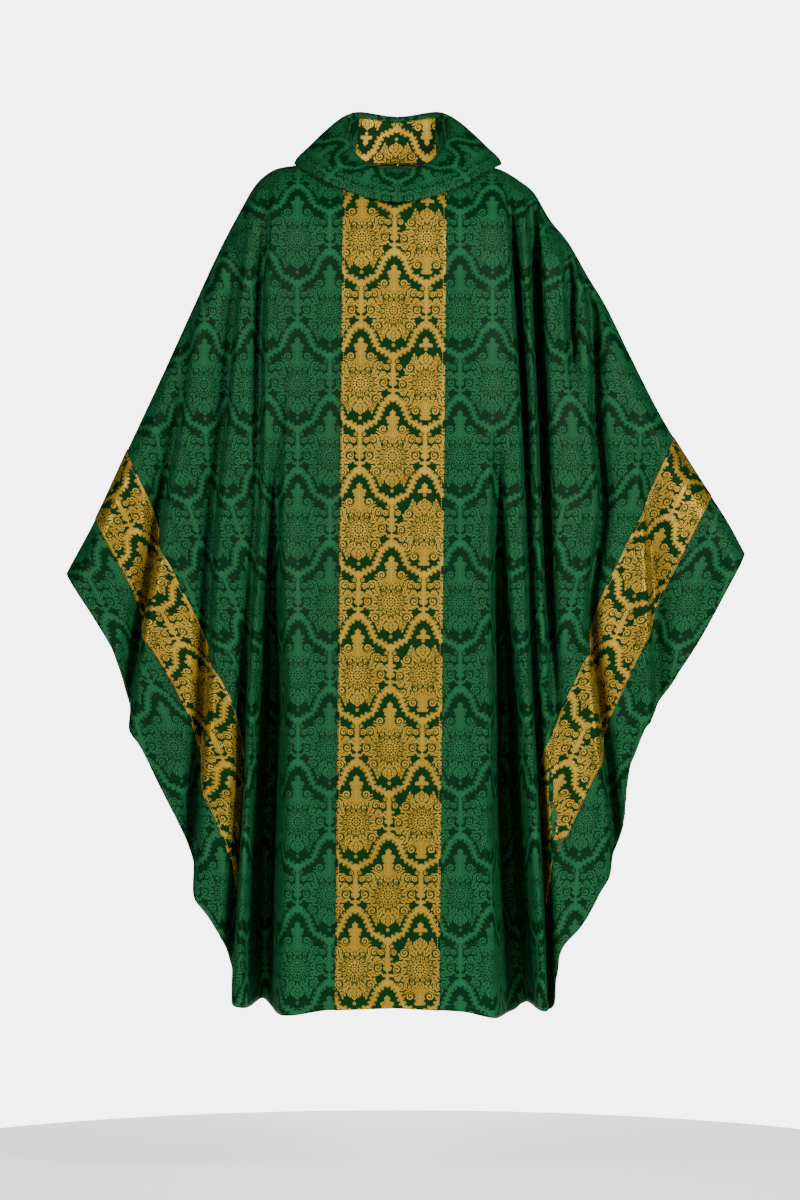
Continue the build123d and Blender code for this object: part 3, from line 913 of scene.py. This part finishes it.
def oval(turn, half_width, front, back, z):
    angle = np.radians(turn)
    depth = back + (front - back) * (1 + np.cos(angle)) / 2
    return np.stack([half_width * np.sin(angle), -depth * np.cos(angle), z], axis=-1)


def rim(turn):
    return oval(turn, RIM_HALF_WIDTH, RIM_FRONT, RIM_BACK, round_height(RIM_HEIGHTS, turn)) + COLLAR_CENTRE


def fall_edge(turn):
    edge = oval(turn, FALL_HALF_WIDTH, FALL_FRONT, FALL_BACK, round_height(FALL_HEIGHTS, turn))
    return edge + COLLAR_CENTRE


def neck_seam(turn, inside=0.0, lower=0.0):
    z = round_height(SEAM_HEIGHTS, turn) - lower
    reach = (size - (NECK_EASE + inside) for size in (NECK_HALF_WIDTH, *NECK_DEPTH.values()))
    return oval(turn, *reach, z)


def outwards(turn):
    angle = np.radians(turn)
    return np.stack([np.sin(angle), -np.cos(angle), np.zeros_like(angle)], axis=-1)


def smooth_rows(points, count):
    """Rows interpolated through a few rows of points, evenly spaced along them."""
    points = np.array(points)
    at = run_lengths(np.linalg.norm(np.diff(points, axis=0), axis=2).mean(axis=1))
    read = np.linspace(0, at[-1], count)
    i = np.clip(np.searchsorted(at, read) - 1, 0, len(at) - 2)
    width = at[i + 1] - at[i]
    share = (read - at[i]) / width
    return cubic(points, np.gradient(points, at, axis=0), i, share[:, None, None], width[:, None, None])


def collar_cloth(places):
    """Cloth coordinates of a collar grid: along it from its first column, and down it."""
    along_it = run_lengths(np.linalg.norm(np.diff(places[len(places) // 2], axis=0), axis=1))
    down_it = run_lengths(np.linalg.norm(np.diff(places, axis=0), axis=2).mean(axis=1))
    return np.dstack(np.meshgrid(along_it, -down_it))


def half_turns(side, count):
    turns = np.linspace(0.15, 179.85, count)
    return turns if side == "right" else 360 - turns


def collar_waves(turn, share):
    """Soft unevenness of the stiffened fall."""
    angle = np.radians(turn)
    return 0.0014 * np.sin(5 * angle + 0.8) * share + 0.0010 * np.sin(9 * angle + 2.0) * share


def fall_grid(turns, profile, count, inside=0.0):
    top, bottom, out = rim(turns), fall_edge(turns), outwards(turns)
    up = np.array([0, 0, 1.0])
    rows = []
    for share, outward, upward in profile:
        wave = collar_waves(turns, share)[:, None]
        rows.append(top + (bottom - top) * share + out * (outward - inside + wave) + up * upward)
    rows = smooth_rows(rows, count)
    from_front = np.minimum(turns, 360 - turns)
    seams = hump(from_front / GROOVE_WIDTH) + hump((180 - from_front) / GROOVE_WIDTH)
    return rows - out * (GROOVE_DEPTH * seams)[:, None]


def make_collar():
    for side in SIDES:
        turns = half_turns(side, COLLAR_COLUMNS)
        flip = side == "right"
        fall = fall_grid(turns, FALL_PROFILE, FALL_ROWS)
        cloth = collar_cloth(fall)
        add_sheet(f"{side}_collar_fall", fall, cloth, flip, "green_damask", FALL_THICKNESS)
        places = fall_grid(turns, FALL_PROFILE[4:8], INTERLINING_ROWS, INTERLINING_IN)
        cloth = collar_cloth(places)
        add_sheet(f"{side}_collar_interlining", places, cloth, flip, "interlining_cloth", THIN_CLOTH)
        places = np.array([neck_seam(turns, BINDING_IN, lower) for lower in BINDING_DROPS])
        cloth = collar_cloth(places)
        add_sheet(f"{side}_neck_binding", places, cloth, not flip, "seam_tape", THIN_CLOTH)
        COLLAR_SEAM[side] = fall[FALL_STITCH_ROW] + outwards(turns) * COLLAR_THREAD_OUT
    for name, first, last, slot in (
        ("right_collar_facing", 0.15, BACK_INSERT_FROM, "green_damask"),
        ("back_collar_insert", BACK_INSERT_FROM + 0.3, 359.7 - BACK_INSERT_FROM, "gold_brocade"),
        ("left_collar_facing", 360 - BACK_INSERT_FROM, 359.85, "green_damask"),
    ):
        turns = np.linspace(first, last, FACING_COLUMNS)
        bottom, out = neck_seam(turns), outwards(turns)
        top = rim(turns) - out * FACING_TOP_IN - FACING_TOP_DROP
        rows = [bottom + (top - bottom) * share + out * outward for share, outward in FACING_PROFILE]
        places = smooth_rows(rows, FACING_ROWS)
        cloth = collar_cloth(places)
        if name.startswith("back"):
            cloth = cloth - np.array([cloth[0, -1, 0] / 2, 0.0])
        add_sheet(name, places, cloth, False, slot)


# ---- inner trims

TAPE_FROM = NECK_HALF_WIDTH + 0.014
TAPE_TO = 0.225
TAPE_HALF_WIDTH = 0.006
TAPE_DROP = 0.007
LABEL_HALF_WIDTH = 0.024
LABEL_TOP = -0.022
LABEL_HEIGHT = 0.026


def make_tapes_and_label():
    x, y = np.meshgrid(np.linspace(TAPE_FROM, TAPE_TO, 40),
                       np.linspace(-TAPE_HALF_WIDTH, TAPE_HALF_WIDTH, 5))
    for side in SIDES:
        places = np.dstack([SIDES[side] * x, y, shoulder_z("front", side, x) - TAPE_DROP])
        node = f"{side}_shoulder_tape"
        add_sheet(node, places, np.dstack([x, y]), False, "seam_tape", THIN_CLOTH)
    x, z = np.meshgrid(np.linspace(-LABEL_HALF_WIDTH, LABEL_HALF_WIDTH, 25),
                       np.linspace(LABEL_TOP, LABEL_TOP - LABEL_HEIGHT, 13))
    _, y = drape("back", "left", np.abs(x), z)
    places = moved_out(np.dstack([x, y, z]), FACING_IN, "back")
    add_sheet("neck_label", places, np.dstack([x, z]), True, "label_cloth", THIN_CLOTH)


# ---- stitching

STITCH_PITCH = 0.0042
STITCH_LENGTH = 0.0030
STITCH_RADIUS = 0.00032
STITCH_START = 0.002
STITCH_SIDES = 6
# Rings along a stitch: share of its length, then of its radius
STITCH_RINGS = ((0.0, 0.35), (0.22, 1.0), (0.78, 1.0), (1.0, 0.35))
THREAD_OUT = 0.0008
COLLAR_THREAD_OUT = 0.0010
HEM_STITCH_HEIGHT = 0.010
# The hem's stitching lies within this many rows of the grid's last one
HEM_ROWS = 40


def stitch_places(line):
    """Starts and ends of the stitches along a line."""
    at = run_lengths(np.linalg.norm(np.diff(line, axis=0), axis=1))
    starts = np.arange(STITCH_START, at[-1] - STITCH_PITCH, STITCH_PITCH)
    return [np.stack([np.interp(s, at, line[:, i]) for i in range(3)], axis=1)
            for s in (starts, starts + STITCH_LENGTH)]


def make_stitches(name, lines, material):
    """Rows of single stitches: short six-sided threads with tapered ends."""
    verts, faces = [], []
    n = STITCH_SIDES
    for line in lines:
        for start, end in zip(*stitch_places(line)):
            run = (end - start) / np.linalg.norm(end - start)
            # any direction that no stitch runs along gives the thread's two cross directions
            aside = np.cross(run, (0.31, 0.17, 0.93))
            aside /= np.linalg.norm(aside)
            other = np.cross(run, aside)
            base = len(verts)
            for share, girth in STITCH_RINGS:
                for k in range(n):
                    angle = k * math.tau / n
                    around = aside * math.cos(angle) + other * math.sin(angle)
                    verts.append(start + (end - start) * share + around * STITCH_RADIUS * girth)
            for ring in range(len(STITCH_RINGS) - 1):
                for k in range(n):
                    a, b = base + ring * n + k, base + ring * n + (k + 1) % n
                    faces.append((a, b, b + n, a + n))
            faces.append(tuple(base + n - 1 - k for k in range(n)))
            faces.append(tuple(base + 3 * n + k for k in range(n)))
    mesh = bpy.data.meshes.new(name)
    mesh.from_pydata([tuple(v) for v in verts], [], faces)
    mesh.materials.append(MATERIALS[material])
    piece = bpy.data.objects.new(name, mesh)
    bpy.context.scene.collection.objects.link(piece)
    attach(piece, "root")


def edge_lines(strip, face):
    """The lines beside both long edges of a strip, lifted to lie on it."""
    lifted = moved_out(strip, THREAD_OUT, face)
    return [lifted[:, 1], lifted[:, -2]]


def make_stitching():
    hems, trims = [], []
    for face in FACES:
        for side in SIDES:
            places = HALF[face, side][0]
            lifted = moved_out(places, THREAD_OUT, face)
            hems.append(read_grid(lifted, hem_row(places, HEM_STITCH_HEIGHT))[::2])
            trims += edge_lines(BAND[face, side], face)
        trims += edge_lines(ORPHREY[face], face)
    make_stitches("hem_stitching", hems, "green_thread")
    make_stitches("trim_stitching", trims, "gold_thread")
    make_stitches("collar_stitching", COLLAR_SEAM.values(), "green_thread")


def hem_row(places, height):
    """Fractional grid places of the line at a height above the hem."""
    rise = np.linalg.norm(np.diff(places[-HEM_ROWS:], axis=0), axis=2)[::-1]
    climbed = np.cumsum(rise, axis=0)
    steps = np.argmax(climbed > height, axis=0)
    columns = np.arange(places.shape[1])
    before = np.where(steps > 0, climbed[steps - 1, columns], 0.0)
    part = (height - before) / rise[steps, columns]
    return np.stack([len(places) - 1 - (steps + part), columns], axis=1).astype(float)


# Filled by the functions that make the pieces, and read for the stitching
ORPHREY = {}
BAND = {}
COLLAR_SEAM = {}
INNER_X = ORPHREY_HALF_WIDTH - PANEL_UNDERLAP
HALF = {(face, side): half_face(face, side, INNER_X, GRID_COLUMNS, GRID_ROWS)
        for face in FACES for side in SIDES}
make_panels()
make_linings()
make_sleeve_facings()
make_orphreys()
make_bands()
make_collar()
make_tapes_and_label()
make_stitching()

# ---- floor, camera and light

FLOOR_Z = -1.57
# What the camera sees: its frame's height, top and middle, measured in the plane where y is FRAME_Y
FRAME_HEIGHT = 1.86
FRAME_TOP = 0.271
FRAME_X = 0.0078
FRAME_Y = -0.06
# Area lights: name, place, size in metres, power in watts; all of them face LIT_POINT
LIGHTS = (
    ("front_right", (2.5, -3.0, 0.7), 0.8, 178), ("front_left", (-2.5, -3.0, 0.8), 0.8, 126),
    ("back_right", (0.35, 3.9, -0.95), 0.9, 100), ("back_left", (-0.35, 3.9, -0.95), 0.9, 115),
    ("front", (0.2, -4.4, 0.2), 1.0, 8),
)
LIT_POINT = (0, 0, -0.6)


def make_floor():
    mesh = bpy.data.meshes.new("floor")
    shape = bmesh.new()
    bmesh.ops.create_circle(shape, cap_ends=True, radius=1.0, segments=96)
    shape.to_mesh(mesh)
    shape.free()
    mesh.materials.append(floor_material())
    floor = bpy.data.objects.new("floor", mesh)
    floor.location.z = FLOOR_Z
    bpy.context.scene.collection.objects.link(floor)


def make_camera():
    camera = bpy.data.cameras.new("camera")
    camera.lens = 135
    camera.sensor_fit = "VERTICAL"
    camera.sensor_height = 36
    holder = bpy.data.objects.new("camera", camera)
    bpy.context.scene.collection.objects.link(holder)
    distance = FRAME_HEIGHT * camera.lens / camera.sensor_height
    holder.location = (FRAME_X, FRAME_Y - distance, FRAME_TOP - FRAME_HEIGHT / 2)
    holder.rotation_euler = (math.radians(90), 0, 0)
    bpy.context.scene.camera = holder


def make_lights():
    """A dim white surround that the camera sees as bright paper, and five area lights."""
    world = bpy.data.worlds.new("studio")
    bpy.context.scene.world = world
    world.use_nodes = True
    tree = world.node_tree
    surround = tree.nodes["Background"]
    surround.inputs["Color"].default_value = (1, 1, 1, 1)
    surround.inputs["Strength"].default_value = 0.02
    paper = tree.nodes.new("ShaderNodeBackground")
    paper.inputs["Strength"].default_value = 7.0
    path = tree.nodes.new("ShaderNodeLightPath")
    blend = tree.nodes.new("ShaderNodeMixShader")
    tree.links.new(path.outputs["Is Camera Ray"], blend.inputs[0])
    tree.links.new(surround.outputs[0], blend.inputs[1])
    tree.links.new(paper.outputs[0], blend.inputs[2])
    tree.links.new(blend.outputs[0], tree.nodes["World Output"].inputs["Surface"])
    for name, place, size, power in LIGHTS:
        light = bpy.data.lights.new(name, "AREA")
        light.size = size
        light.energy = power
        holder = bpy.data.objects.new(name, light)
        holder.location = place
        direction = holder.location - type(holder.location)(LIT_POINT)
        holder.rotation_euler = direction.to_track_quat("Z", "Y").to_euler()
        bpy.context.scene.collection.objects.link(holder)


make_floor()
make_camera()
make_lights()
